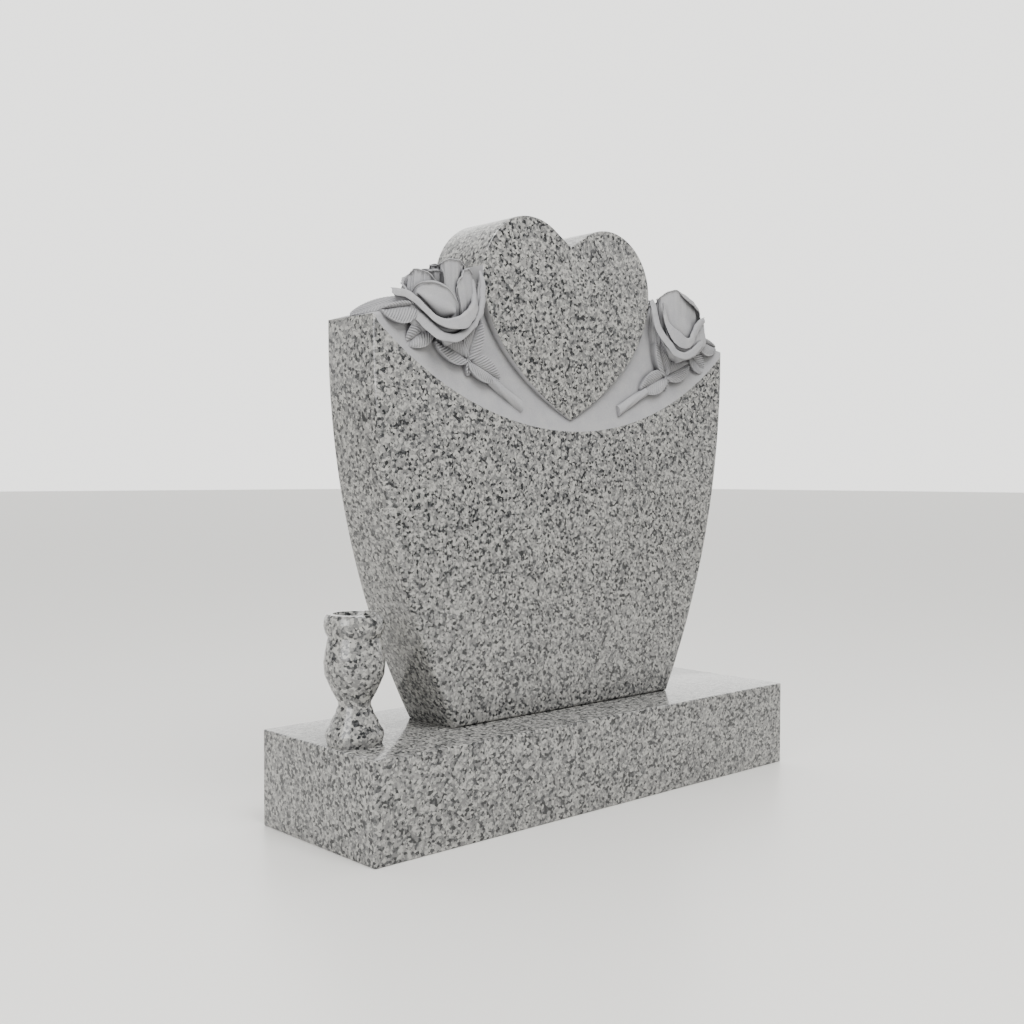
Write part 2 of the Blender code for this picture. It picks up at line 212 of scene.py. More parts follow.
WASTE_STEP = 0.004
COVE_STATIONS = 20
COVE_STEP = 0.001
HAIR = 0.0002
WALL_NORMAL_Y = 0.3
MATT_TO_Z = 0.902
MATT_SHADES = ("ramp", (0.30, (0.255, 0.255, 0.268)), (0.50, (0.290, 0.288, 0.295)), (0.72, (0.335, 0.331, 0.327)))
MATT_ROUGHNESS = 0.85
CLOUDS_PER_M = 45.0
CLOUD_DETAIL = 4.0
CLOUD_SHARE = 0.5
GRITS_PER_M = 420.0
PECK_STRENGTH = 0.25
PECK_DEPTH = 0.0006
# Painted shade: a dark colour that an occlusion mask lays into recesses where shade falls, with the mask's samples
# and the range over which it fades out.
PAINTED_SHADE_COLOUR = (0.060, 0.060, 0.067, 1.0)
PAINTED_SHADE_SAMPLES = 8
FULL_SHADE_BELOW = 0.15
NO_SHADE_ABOVE = 0.92
# How far from a recess in the tablet's ground the painted shade reaches.
GROUND_SHADE_REACH = 0.008


def matt_granite(name, shade_reach):
    """The same stone left from the chisel and fine grit, paler and even, with shade painted dark into its recesses.

    The reach argument is how far from a recess the painted shade still shows.
    """
    material, shader, stone = stone_material(name)
    place = stone.node("ShaderNodeTexCoord", out="Object")
    cloud = stone.node("ShaderNodeTexNoise", sockets={"Vector": place, "Scale": CLOUDS_PER_M, "Detail": CLOUD_DETAIL})
    grit = stone.node("ShaderNodeTexNoise", sockets={"Vector": place, "Scale": GRITS_PER_M, "Detail": NOISE_DETAIL})
    shades = stone.node("ShaderNodeValToRGB", {"stops": MATT_SHADES},
                        {"Fac": cloud * CLOUD_SHARE + grit * (1 - CLOUD_SHARE)})
    # Painted shade: the colour goes towards the dark shade colour where the ambient occlusion mask finds a recess.
    occlusion_mask = stone.node("ShaderNodeAmbientOcclusion", {"samples": PAINTED_SHADE_SAMPLES},
                             {"Distance": shade_reach}, out="AO")
    shade_free = stone.node("ShaderNodeMapRange",
                       sockets={"Value": occlusion_mask, "From Min": FULL_SHADE_BELOW, "From Max": NO_SHADE_ABOVE})
    colour = stone.node("ShaderNodeMix", {"data_type": "RGBA"}, {0: shade_free, 6: PAINTED_SHADE_COLOUR, 7: shades}, out=2)
    colour.feeds(shader, "Base Color")
    shader.inputs["Roughness"].default_value = MATT_ROUGHNESS
    pecked = stone.node("ShaderNodeBump", sockets={"Strength": PECK_STRENGTH, "Distance": PECK_DEPTH, "Height": grit})
    pecked.feeds(shader, "Normal")
    return material


def loft(bm, rings):
    """Skins closed rings of equal length in order, and caps both ends."""
    rows = [[bm.verts.new(point) for point in ring] for ring in rings]
    count = len(rows[0])
    for low, high in zip(rows, rows[1:]):
        for i in range(count):
            bm.faces.new((low[i], low[(i + 1) % count], high[(i + 1) % count], high[i]))
    bm.faces.new(rows[0])
    bm.faces.new(rows[-1])


def inset_outline(outline, distance):
    """Moves each side of a counter-clockwise outline inwards by a distance."""
    moved = []
    for i, point in enumerate(outline):
        here, before = Vector(point), Vector(outline[i - 1])
        after = Vector(outline[(i + 1) % len(outline)])
        first, second = (here - before).normalized(), (after - here).normalized()
        normal = Vector((-first.y, first.x))
        bisector = (normal + Vector((-second.y, second.x))).normalized()
        moved.append(tuple(here + bisector * (distance / bisector.dot(normal))))
    return moved


def rounded_slab(outline, front, back, arris, steps):
    """Block of an XZ outline between two Y planes, with rounded arrises."""
    quarter = [math.pi / 2 * k / steps for k in range(steps + 1)]
    rings = [(front + arris * (1 - math.cos(a)), arris * (1 - math.sin(a))) for a in quarter]
    rings += [(back + front - y, inset) for y, inset in reversed(rings)]
    slab = bmesh.new()
    loft(slab, [[(x, y, z) for x, z in inset_outline(outline, inset)] for y, inset in rings])
    return slab


def block_outline(steps):
    """Outline of the stone before its top is carved."""
    half = []
    for k in range(steps + 1):
        z = TABLET_FOOT + (SIDE_UPRIGHT_Z - TABLET_FOOT) * k / steps
        bow = SIDE_RADIUS - math.sqrt(SIDE_RADIUS ** 2 - (SIDE_UPRIGHT_Z - z) ** 2)
        half.append((SHOULDER_HALF - bow, z))
    half.append((SHOULDER_HALF, BLOCK_TOP))
    return half + [(-x, z) for x, z in reversed(half)]


def heart_outline(lower_steps, lobe_steps):
    """Outline of the heart, from its tip up the right side to the notch and down the left side."""
    half = []
    for k in range(lower_steps + 1):
        t = k / lower_steps
        weights = ((1 - t) ** 3, 3 * (1 - t) ** 2 * t, 3 * (1 - t) * t * t, t ** 3)
        half.append(tuple(sum(w * c[i] for w, c in zip(weights, HEART_LOWER)) for i in range(2)))
    for k in range(1, lobe_steps + 1):
        turn = LOBE_TURN * k / lobe_steps
        half.append((LOBE_CENTRE[0] + LOBE_RADIUS * math.cos(turn), LOBE_CENTRE[1] + LOBE_RADIUS * math.sin(turn)))
    return half + [(0.0, NOTCH_Z)] + [(-x, z) for x, z in reversed(half[1:])]


def shoulder_z(x):
    """Height of the sloping shoulder, with the cove where it meets the heart."""
    reach = max(abs(x), HEART_WALL)
    z = SHOULDER_TOP + (SHOULDER_HALF - reach) * SLOPE
    cove_x = HEART_WALL + COVE_RADIUS
    cove_z = SHOULDER_TOP + (SHOULDER_HALF - cove_x) * SLOPE + COVE_RADIUS * math.hypot(1, SLOPE)
    if reach < cove_x:
        z = max(z, cove_z - math.sqrt(max(0.0, COVE_RADIUS ** 2 - (cove_x - reach) ** 2)))
    return z


def sink(rise):
    """Depth of the crescent's ground behind the face, for a height above its lower edge."""
    if rise < 0:
        return SINK_DEPTH / SINK_RISE * rise
    return SINK_DEPTH * (1 - math.exp(-rise / SINK_RISE))


def waste_section(x, ground_steps, round_steps):
    """Closed YZ section of the stone that is cut away at one place along the tablet."""
    top = shoulder_z(x)
    round_start = top - SLOPE_ROUND
    low = min(CRESCENT_LOW_Z + CRESCENT_RADIUS - math.sqrt(CRESCENT_RADIUS ** 2 - x * x), round_start)
    front, back, above = FACE_Y - WASTE_PAST, BACK_Y + WASTE_PAST, BLOCK_TOP + WASTE_PAST
    section = [(front, low - RUN_OUT), (FACE_Y + sink(-RUN_OUT), low - RUN_OUT)]
    for k in range(ground_steps + 1):
        rise = (round_start - low) * (k / ground_steps) ** GROUND_CROWDING
        section.append((FACE_Y + sink(rise), low + rise))
    edge_y = FACE_Y + sink(round_start - low) + SLOPE_ROUND
    for k in range(1, round_steps + 1):
        a = math.pi / 2 * k / round_steps
        section.append((edge_y - SLOPE_ROUND * math.cos(a), round_start + SLOPE_ROUND * math.sin(a)))
    for k in range(round_steps + 1):
        a = BACK_ROUND_TURN * k / round_steps
        section.append((BACK_Y - SLOPE_ROUND * (1 - math.sin(a)), round_start + SLOPE_ROUND * math.cos(a)))
    section += [(back, section[-1][1]), (back, above), (front, above)]
    return [(x, y, z) for y, z in section]


def cut(piece, tool):
    """Takes a form out of a piece. The new faces keep the form's material, and the form is thrown away."""
    modifier = piece.modifiers.new(tool.name, "BOOLEAN")
    modifier.operation = "DIFFERENCE"
    modifier.solver = "EXACT"
    modifier.material_mode = "TRANSFER"
    modifier.object = tool
    data = bpy.data.meshes.new_from_object(piece.evaluated_get(bpy.context.evaluated_depsgraph_get()))
    piece.modifiers.clear()
    piece.data = data
    shaded(data, angle=30)
    bpy.data.objects.remove(tool, do_unlink=True)


polish = polished_granite("tablet_polish")
matt = matt_granite("tablet_matt", GROUND_SHADE_REACH)
block = rounded_slab(block_outline(steps=60), FACE_Y, BACK_Y, BLOCK_ARRIS, steps=6)
tablet = carve("tablet_stone", block, polish)
waste_stations = [-(SHOULDER_HALF + WASTE_PAST) + WASTE_STEP * k for k in range(WASTE_STATIONS)]
waste_stations += [side * (HEART_WALL + COVE_STEP * k) for side in (-1, 1) for k in range(COVE_STATIONS)]
bm = bmesh.new()
loft(bm, [waste_section(x, ground_steps=24, round_steps=6) for x in sorted(waste_stations)])
waste = carve("waste", bm, matt)
outline = heart_outline(lower_steps=48, lobe_steps=48)
heart_block = rounded_slab(outline, FACE_Y - HAIR, BACK_Y + HAIR, HEART_ARRIS, steps=4)
cut(waste, carve("heart_form", heart_block, polish))
cut(tablet, waste)
slots = [material.name for material in tablet.data.materials]
for face in tablet.data.polygons:
    heart_wall = abs(face.center.x) < HEART_WALL + HAIR and abs(face.normal.y) < WALL_NORMAL_Y
    if heart_wall and HEART_LOWER[0][1] < face.center.z < MATT_TO_Z:
        face.material_index = slots.index(matt.name)
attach(tablet, "root")
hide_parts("tablet")


# Rose sprays: one rose, its leaves and its cut stem on each shoulder, carved from the tablet's own block
# and left matt. Every petal is a thin lip undercut with fine burrs. The right spray is the mirror image of
# the left one, but its front petals are shaped on their own and its leaves lie a little further out.
ROSE_FOOT = Vector((-0.279, -0.035, 0.772))
ROSE_FLATTEN = 0.62
PETAL_FOOT = 0.012
PETAL_THICK = 0.0050
EDGE_THICK = 0.0026
THIN_EDGE = (0.96, 0.8, 0.3)
THIN_SIDE = (0.3, 0.75, 0.95, 1.0)
LEAST_WALL = 0.016
HOLLOW_AT = 0.8
HOLLOW_SPREAD = 0.13
ROLLED_RADIUS = 0.0048
FLARED_RADIUS = 0.0038
ROLLED_FROM = 0.0055
ROLLED_OVER = 0.0020
TURNED_OUT = 0.0012
RUFFLE_PITCH = 0.0240
LEAN_COLUMNS = 7
PETAL_COLUMNS = 84
WALL_ROWS = 22
ROLL_ROWS = 12
HANG_ROWS = 8
TAPER_ROWS = 12
BLOOM_CORE = Vector((0.032, 0.032 * ROSE_FLATTEN, 0.048))
BLOOM_CORE_RISE = Vector((0, 0, 0.030))
LEAF_ROWS = 131
LEAF_HALF_COLUMNS = 22
LEAF_EDGE = ((0.97, -0.0030), (0.90, -0.0060), (0.84, -0.0100), (0.86, -0.022))
VEIN_PITCH = 0.0058
VEIN_DEPTH = 0.0018
STEM_TOP = Vector((-0.1849, -0.049, 0.7148))
STEM_CUT = Vector((-0.1154, -0.047, 0.675))
STEM_RINGS = 41
STEM_SIDES = 40
STEM_RADIUS = 0.0078
STEM_SWELL = 0.0020
STEM_ROUGH = 0.0004
STEM_SLANT = 0.005
STEM_DRIFT = 0.0140
# How far from a recess in the carving the painted shade reaches.
CARVING_SHADE_REACH = 0.020


def through(points, count):
    """Even samples of a smooth curve through control points, as rows of an array."""
    points = np.array(points, float)
    steps = np.diff(points[:, :3] * (0.001, 1, 1), axis=0)
    knots = np.concatenate([[0], np.cumsum(np.linalg.norm(steps, axis=1))])
    slopes = np.gradient(points, knots, axis=0)
    where = np.linspace(0, knots[-1], count)
    k = np.clip(np.searchsorted(knots, where, side="right") - 1, 0, len(knots) - 2)
    width = (knots[k + 1] - knots[k])[:, None]
    t = (where[:, None] - knots[k][:, None]) / width
    low, high = points[k], points[k + 1]
    return ((2 * t ** 3 - 3 * t ** 2 + 1) * low + (t ** 3 - 2 * t ** 2 + t) * width * slopes[k]
            + (3 * t ** 2 - 2 * t ** 3) * high + (t ** 3 - t ** 2) * width * slopes[k + 1])


def shell(bm, front, back):
    """Closes two grids of points, one behind the other, into one solid."""
    rows = [[bm.verts.new(point) for point in row] for row in front]
    behind = [[bm.verts.new(point) for point in row] for row in back]
    last, across = len(rows) - 1, len(rows[0]) - 1
    for j in range(last):
        for i in range(across):
            bm.faces.new((rows[j][i], rows[j][i + 1], rows[j + 1][i + 1], rows[j + 1][i]))
            bm.faces.new((behind[j][i], behind[j + 1][i], behind[j + 1][i + 1], behind[j][i + 1]))
    for i in range(across):
        bm.faces.new((rows[0][i + 1], rows[0][i], behind[0][i], behind[0][i + 1]))
        bm.faces.new((rows[last][i], rows[last][i + 1], behind[last][i + 1], behind[last][i]))
    for j in range(last):
        bm.faces.new((rows[j][0], rows[j + 1][0], behind[j + 1][0], behind[j][0]))
        bm.faces.new((rows[j + 1][across], rows[j][across], behind[j][across], behind[j + 1][across]))


def petal(bm, crest, belly=0.0, hollow=0.0, lopsided=0, flare=0.25, foot=0.776, cradle=0.0, ruffle=0.0, axis=(0, 0)):
    """One petal. crest is its rim as angle, radius, height and how far its rolled lip hangs down.

    belly swells its wall, and hollow sinks it under the lip, more towards the crest's end where it is lopsided.
    flare turns the hanging lip out. foot is the height that the wall starts from, and cradle lifts that height
    at the petal's sides. ruffle ripples the rim, and axis moves the whole petal off the rose's middle.
    """
    rim = through(crest, PETAL_COLUMNS)
    forward, upward = np.gradient(np.radians(rim[:, 0])) * rim[:, 1], np.gradient(rim[:, 2])
    walked = np.cumsum(np.hypot(forward, upward))
    middle = (rim[0, 0] + rim[-1, 0]) / 2
    soft, side_columns = np.full(LEAN_COLUMNS, 1 / LEAN_COLUMNS), LEAN_COLUMNS // 2
    leans = np.arctan2(*(np.convolve(np.pad(move, side_columns, mode="edge"), soft, mode="valid")
                         for move in (upward, forward)))
    front, back = [], []
    for column, (turn, reach, top, hang) in enumerate(rim):
        lean = leans[column]
        wave = 2 * math.pi * walked[column] / RUFFLE_PITCH
        swell = ruffle * (math.sin(wave) + 0.6 * math.sin(2.3 * wave + 1.0))
        over = min(1.0, max(0.0, (hang - ROLLED_FROM) / ROLLED_OVER))
        roll = FLARED_RADIUS + (ROLLED_RADIUS - FLARED_RADIUS) * over
        wall = reach - roll
        bulge = 2 * (reach + belly) - 0.5 * (PETAL_FOOT + wall)
        t = np.linspace(0, 1, WALL_ROWS)[:-1]
        r = (1 - t) ** 2 * PETAL_FOOT + 2 * (1 - t) * t * bulge + t * t * wall
        r -= hollow * (column / PETAL_COLUMNS) ** lopsided * np.exp(-((t - HOLLOW_AT) / HOLLOW_SPREAD) ** 2)
        r += swell * t * t
        reach += swell
        top += 0.5 * ruffle * math.cos(wave)
        low = min(foot + cradle * ((turn - 15) / 60) ** 2, top - LEAST_WALL)
        z = low + (top - roll * math.cos(lean) - low) * t * (0.35 + 0.65 * t)
        angle = middle + (turn - middle) * (0.62 + 0.38 * t) + t * math.degrees(math.sin(lean) * roll / reach)
        a = np.linspace(math.pi, (1 - over) * math.pi / 2, ROLL_ROWS)
        down = np.linspace(0, max(hang - roll, 0.0) * over, HANG_ROWS)[1:]
        below = np.concatenate([roll - roll * np.sin(a), roll * over + down])
        out = TURNED_OUT * (1 - over) * np.linspace(0, 1, HANG_ROWS)[1:]
        r = np.concatenate([r, reach + roll * np.cos(a), reach + roll * over + flare * down + out])
        z = np.concatenate([z, top - below * math.cos(lean)])
        angle = np.radians(np.concatenate([angle, turn + np.degrees(math.sin(lean) * below / reach)]))
        along = np.gradient(np.stack([r, z], axis=1), axis=0)
        along /= np.linalg.norm(along, axis=1, keepdims=True)
        thick = np.concatenate([np.linspace(PETAL_THICK, EDGE_THICK, len(t)), np.full(len(below), EDGE_THICK)])
        thick[-TAPER_ROWS:] *= 1 - 0.4 * (1 - over)
        thick[-len(THIN_EDGE):] *= THIN_EDGE
        from_side = min(column, PETAL_COLUMNS - 1 - column, len(THIN_SIDE) - 1)
        thick = thick / 2 * THIN_SIDE[from_side]
        for sheet, way in ((front, -1), (back, 1)):
            rr = r + way * -along[:, 1] * thick
            zz = z + way * along[:, 0] * thick
            sheet.append([(ROSE_FOOT.x + axis[0] - p * math.sin(b),
                           ROSE_FOOT.y + axis[1] - p * math.cos(b) * ROSE_FLATTEN, q)
                          for p, q, b in zip(rr, zz, angle)])
    shell(bm, front, back)


PETALS = {
    "bud": dict(crest=[(-120, 0.0055, 0.886, 0.003), (-40, 0.0060, 0.889, 0.004), (60, 0.0065, 0.889, 0.004),
                       (150, 0.0060, 0.890, 0.004), (230, 0.0055, 0.887, 0.003)], axis=(-0.015, -0.004), foot=0.83),
    "curl behind": dict(crest=[(-40, 0.014, 0.884, 0.003), (0, 0.015, 0.892, 0.004), (50, 0.014, 0.893, 0.004),
                               (110, 0.013, 0.888, 0.003)], axis=(0.002, 0.010), foot=0.82, ruffle=0.001),
    "curl beside": dict(crest=[(-50, 0.011, 0.887, 0.003), (0, 0.012, 0.896, 0.004), (60, 0.012, 0.894, 0.004),
                               (120, 0.011, 0.887, 0.003)], axis=(0.008, -0.004), foot=0.82, ruffle=0.001),
    "curl in front": dict(crest=[(-10, 0.030, 0.868, 0.003), (15, 0.031, 0.877, 0.005), (38, 0.031, 0.8815, 0.006),
                                 (60, 0.032, 0.8800, 0.006), (85, 0.035, 0.872, 0.005), (98, 0.038, 0.862, 0.003)],
                          belly=-0.004, hollow=0.004, foot=0.82, ruffle=0.0012),
    "outer curl": dict(crest=[(20, 0.024, 0.868, 0.003), (50, 0.027, 0.876, 0.004), (80, 0.030, 0.883, 0.005),
                              (118, 0.031, 0.882, 0.005), (175, 0.027, 0.889, 0.004), (230, 0.026, 0.893, 0.004),
                              (275, 0.026, 0.890, 0.003)], belly=0.002, ruffle=0.0018, hollow=0.003),
    "high": dict(crest=[(-84, 0.044, 0.878, 0.004), (-62, 0.045, 0.889, 0.005), (-46, 0.045, 0.896, 0.005),
                        (-26, 0.045, 0.8993, 0.005), (-8, 0.045, 0.8992, 0.004), (8, 0.043, 0.8975, 0.004),
                        (19, 0.042, 0.893, 0.004), (22, 0.042, 0.885, 0.004), (17, 0.042, 0.876, 0.003),
                        (15, 0.042, 0.866, 0.003), (17, 0.042, 0.852, 0.003)],
                 belly=0.001, hollow=0.007, ruffle=0.001),
    "side": dict(crest=[(28, 0.038, 0.858, 0.003), (40, 0.041, 0.867, 0.004), (56, 0.045, 0.876, 0.004),
                        (74, 0.049, 0.8795, 0.005), (90, 0.053, 0.8785, 0.005), (101, 0.057, 0.872, 0.005),
                        (106, 0.0595, 0.862, 0.004), (108, 0.061, 0.850, 0.003), (108, 0.061, 0.838, 0.003)],
                 belly=0.002, hollow=0.004, ruffle=0.0014),
    "outermost": dict(crest=[(84, 0.063, 0.842, 0.003), (92, 0.066, 0.849, 0.004), (104, 0.068, 0.857, 0.005),
                             (116, 0.067, 0.865, 0.005), (134, 0.060, 0.875, 0.005), (170, 0.050, 0.883, 0.004)],
                      belly=0.001, ruffle=0.001),
    "behind": dict(crest=[(160, 0.047, 0.882, 0.005), (200, 0.046, 0.890, 0.005), (240, 0.047, 0.889, 0.005),
                          (270, 0.050, 0.884, 0.005), (292, 0.053, 0.872, 0.004)], belly=0.004, ruffle=0.001),
    "crossing": dict(crest=[(-116, 0.062, 0.858, 0.004), (-92, 0.064, 0.876, 0.005), (-76, 0.061, 0.8855, 0.005),
                            (-58, 0.055, 0.8895, 0.005), (-42, 0.050, 0.8862, 0.005), (-31, 0.050, 0.8783, 0.004),
                            (-22, 0.050, 0.8690, 0.004), (-15, 0.050, 0.8610, 0.004), (-12, 0.050, 0.8540, 0.003),
                            (-13, 0.050, 0.8460, 0.003), (-16, 0.049, 0.8360, 0.003), (-20, 0.048, 0.8240, 0.003)],
                     ruffle=0.0013),
    "cup": dict(crest=[(-19, 0.048, 0.810, 0.003), (-17, 0.051, 0.8190, 0.003), (-14, 0.053, 0.8275, 0.004),
                       (-9, 0.053, 0.8350, 0.004), (-3, 0.053, 0.8415, 0.005), (4, 0.053, 0.8480, 0.005),
                       (16, 0.053, 0.8555, 0.006), (32, 0.053, 0.8603, 0.006), (52, 0.053, 0.8603, 0.006),
                       (68, 0.055, 0.8565, 0.005), (79, 0.056, 0.8510, 0.005), (86, 0.057, 0.8430, 0.004)],
                belly=-0.001, hollow=0.004, foot=0.799, cradle=0.037),
    "lip": dict(crest=[(-76, 0.062, 0.876, 0.008), (-68, 0.063, 0.864, 0.009), (-60, 0.063, 0.851, 0.011),
                       (-49, 0.064, 0.8375, 0.013), (-33, 0.065, 0.8260, 0.015), (-19, 0.066, 0.8165, 0.0168),
                       (-8, 0.067, 0.8095, 0.0195), (3, 0.067, 0.8047, 0.0180), (14, 0.067, 0.8020, 0.0142),
                       (25, 0.067, 0.8030, 0.0105), (35, 0.068, 0.8092, 0.0085), (44, 0.069, 0.8176, 0.0078),
                       (53, 0.071, 0.8270, 0.0080), (61, 0.075, 0.8350, 0.0088), (68, 0.079, 0.8412, 0.0098),
                       (76, 0.086, 0.8445, 0.0110), (82, 0.092, 0.8455, 0.0085), (87, 0.097, 0.8465, 0.0045)],
                belly=-0.014, hollow=0.008, flare=0.35, ruffle=0.0005),
    "lowest lip": dict(crest=[(-74, 0.079, 0.891, 0.005), (-69, 0.081, 0.880, 0.006), (-66, 0.081, 0.864, 0.007),
                              (-63, 0.080, 0.846, 0.008), (-58, 0.077, 0.829, 0.008), (-48, 0.070, 0.8090, 0.007),
                              (-35, 0.065, 0.8000, 0.008), (-23, 0.064, 0.7925, 0.0085), (-14, 0.063, 0.7865, 0.010),
                              (-6, 0.063, 0.7825, 0.0117), (2, 0.063, 0.7800, 0.0125), (10, 0.063, 0.7795, 0.0125),
                              (18, 0.063, 0.7810, 0.0135), (26, 0.063, 0.7860, 0.0150), (33, 0.063, 0.7925, 0.0155),
                              (43, 0.064, 0.8015, 0.0155), (52, 0.065, 0.8090, 0.0140), (62, 0.068, 0.8180, 0.0165),
                              (70, 0.070, 0.8250, 0.0170), (80, 0.071, 0.8290, 0.0150)],
                       belly=-0.014, hollow=0.006, flare=0.35, ruffle=0.0006),
    "low behind": dict(crest=[(82, 0.073, 0.832, 0.008), (130, 0.066, 0.842, 0.010), (180, 0.060, 0.846, 0.010),
                              (230, 0.062, 0.850, 0.010), (268, 0.068, 0.862, 0.008)], belly=-0.004),
}
RIGHT_PETALS = {name: values for name, values in PETALS.items() if name != "cup"}
RIGHT_PETALS.update({
    "high": dict(crest=[(-84, 0.044, 0.872, 0.004), (-72, 0.046, 0.883, 0.004), (-59, 0.049, 0.891, 0.005),
                        (-43, 0.050, 0.899, 0.005), (-28, 0.050, 0.904, 0.005), (-13, 0.050, 0.906, 0.005),
                        (2, 0.051, 0.9015, 0.0065), (17, 0.054, 0.896, 0.0085), (32, 0.056, 0.892, 0.0095),
                        (46, 0.059, 0.8885, 0.010), (55, 0.064, 0.8835, 0.010), (62, 0.069, 0.8755, 0.010),
                        (65, 0.071, 0.866, 0.0095), (67, 0.071, 0.856, 0.008), (70, 0.068, 0.845, 0.006),
                        (73, 0.065, 0.838, 0.004)],
                 belly=0.002, hollow=0.015, lopsided=1.5, ruffle=0.0006),
    "side": dict(PETALS["side"], crest=PETALS["side"]["crest"][3:]),
    "crossing": dict(crest=[(-116, 0.055, 0.858, 0.004), (-100, 0.056, 0.870, 0.005), (-86, 0.056, 0.877, 0.005),
                            (-74, 0.056, 0.876, 0.005), (-66, 0.056, 0.868, 0.005), (-60, 0.056, 0.855, 0.004),
                            (-54, 0.055, 0.840, 0.004), (-48, 0.054, 0.826, 0.004)], ruffle=0.001),
    "lip": dict(crest=[(-45, 0.066, 0.8807, 0.006), (-41, 0.066, 0.8661, 0.007), (-37, 0.066, 0.8516, 0.008),
                       (-32, 0.066, 0.8407, 0.0105), (-24, 0.066, 0.8338, 0.018), (-17, 0.067, 0.8297, 0.023),
                       (-10, 0.067, 0.8248, 0.025), (-2, 0.068, 0.8191, 0.0235), (4, 0.070, 0.8160, 0.018),
                       (9, 0.071, 0.8172, 0.0125), (16, 0.070, 0.8250, 0.010), (25, 0.0695, 0.836, 0.011),
                       (37, 0.0715, 0.8480, 0.012), (52, 0.077, 0.8569, 0.010), (66, 0.0888, 0.8641, 0.0045)],
                belly=-0.004, hollow=0.005, flare=0.12, ruffle=0.0005),
    "lowest lip": dict(crest=[(-62, 0.079, 0.884, 0.007), (-58, 0.079, 0.876, 0.009), (-54, 0.079, 0.862, 0.010),
                              (-51, 0.079, 0.846, 0.0105), (-47, 0.078, 0.832, 0.011), (-42, 0.077, 0.8225, 0.0115),
                              (-35, 0.076, 0.8125, 0.012), (-27, 0.075, 0.8024, 0.013), (-20, 0.075, 0.7928, 0.013),
                              (-12, 0.075, 0.7887, 0.0125), (-2, 0.075, 0.7895, 0.012), (7, 0.075, 0.7941, 0.012),
                              (18, 0.076, 0.8017, 0.011), (30, 0.077, 0.810, 0.010), (46, 0.079, 0.8164, 0.009),
                              (60, 0.077, 0.820, 0.010), (75, 0.073, 0.824, 0.012)],
                       belly=-0.014, hollow=0.006, flare=0.35, ruffle=0.0006),
})
LEAVES = (
    dict(base=(-0.3396, -0.053, 0.8225), tip=(-0.4036, -0.051, 0.8105), width=0.054, facing=(0, -1, 0.2), upper=0.3),
    dict(base=(-0.3086, -0.053, 0.7955), tip=(-0.3553, -0.050, 0.7615), width=0.043, facing=(0, -1, 0.1),
         drift=0.012),
    dict(base=(-0.2335, -0.0525, 0.746), tip=(-0.3000, -0.0525, 0.7725), width=0.043, facing=(0, -1, 0.1),
         drift=0.020),
    dict(base=(-0.2340, -0.0525, 0.747), tip=(-0.2102, -0.0520, 0.8130), width=0.041, facing=(0, -1, 0.1),
         drift=0.020),
    dict(base=(-0.2335, -0.0525, 0.746), tip=(-0.1650, -0.0520, 0.7165), width=0.043, facing=(0, -1, 0.1),
         drift=0.020),
    dict(base=(-0.3250, -0.0150, 0.838), tip=(-0.4185, 0.0080, 0.8070), width=0.034, facing=(-0.2, -0.6, 1),
         fold=0.005, bow=0.003),
    dict(base=(-0.2340, -0.0525, 0.748), tip=(-0.2323, -0.0510, 0.7190), width=0.011, facing=(0, -1, 0.1),
         fold=0.004, drift=0.020),
)


def leaf(bm, base, tip, width, facing, fold=0.0085, bow=0.002, upper=1.0):
    """One leaf: two rounded halves beside a sunk rib, cut with slanting veins, on a narrower foot of stone.

    facing is the way its face looks, fold the depth of its rib, bow its arch from end to end, and upper the
    width of its upper half against the lower one.
    """
    base, along = Vector(base), Vector(tip) - Vector(base)
    length = along.length
    along.normalize()
    side = along.cross(Vector(facing)).normalized()
    out = side.cross(along)
    rings = []
    for j in range(LEAF_ROWS):
        t = j / (LEAF_ROWS - 1)
        share = math.sin(math.pi * (0.06 + 0.91 * t) ** 0.92) ** 0.65
        spine = base + along * (length * t) + out * (bow * math.sin(math.pi * t))
        ring = []
        for i in range(2 * LEAF_HALF_COLUMNS + 1):
            s = i / LEAF_HALF_COLUMNS - 1
            half = abs(s)
            lateral = width / 2 * share * s * (upper if s > 0 else 1.0)
            puff = fold * min(1.0, 1.6 * share) * (1.8 * half ** 0.8 - 1.2 * half ** 2 - 0.4)
            wave = -(0.5 + 0.5 * math.cos(2 * math.pi * (length * t - 0.9 * abs(lateral)) / VEIN_PITCH)) ** 1.8
            fade = min(1.0, 6 * half) * min(1.0, 3 * share) * min(1.0, 0.15 + 6 * (1 - half))
            nick = 1 + 0.020 * wave * half ** 4
            ring.append(spine + side * (lateral * nick) + out * (puff + VEIN_DEPTH * wave * fade))
        foot = [(w * upper, h) for w, h in LEAF_EDGE] + [(-w, h) for w, h in reversed(LEAF_EDGE)]
        rings.append(ring + [spine + side * (width / 2 * share * w) + out * h for w, h in foot])
    loft(bm, rings)


def stem(bm, drift):
    """Cut stem below the leaves, a little thicker at the slanting cut. drift moves it out, less at the cut."""
    start, end = STEM_TOP - Vector((drift, 0, 0)), STEM_CUT - Vector((0.5 * drift, 0, 0))
    along = (end - start).normalized()
    out = Vector((0, -1, 0))
    side = along.cross(out).normalized()
    rings = []
    for j in range(STEM_RINGS):
        t = j / (STEM_RINGS - 1)
        centre = start.lerp(end, t)
        radius = STEM_RADIUS + STEM_SWELL * t * t
        ring = []
        for k in range(STEM_SIDES):
            a = 2 * math.pi * k / STEM_SIDES
            rough = radius + STEM_ROUGH * math.sin(5 * a + 9 * t)
            slant = along * (STEM_SLANT * math.cos(a) * t)
            ring.append(centre + side * (rough * math.cos(a)) + out * (rough * math.sin(a)) + slant)
        rings.append(ring)
    loft(bm, rings)


def spray(name, bm, right):
    """A part of one spray, in matt stone; the right one is laid out on the left shoulder and then mirrored."""
    piece = carve(name, bm, carving)
    shaded(piece.data, angle=60)
    if right:
        piece.data.transform(Matrix.Scale(-1, 4, Vector((1, 0, 0))))
        piece.data.flip_normals()
    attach(piece, "root")


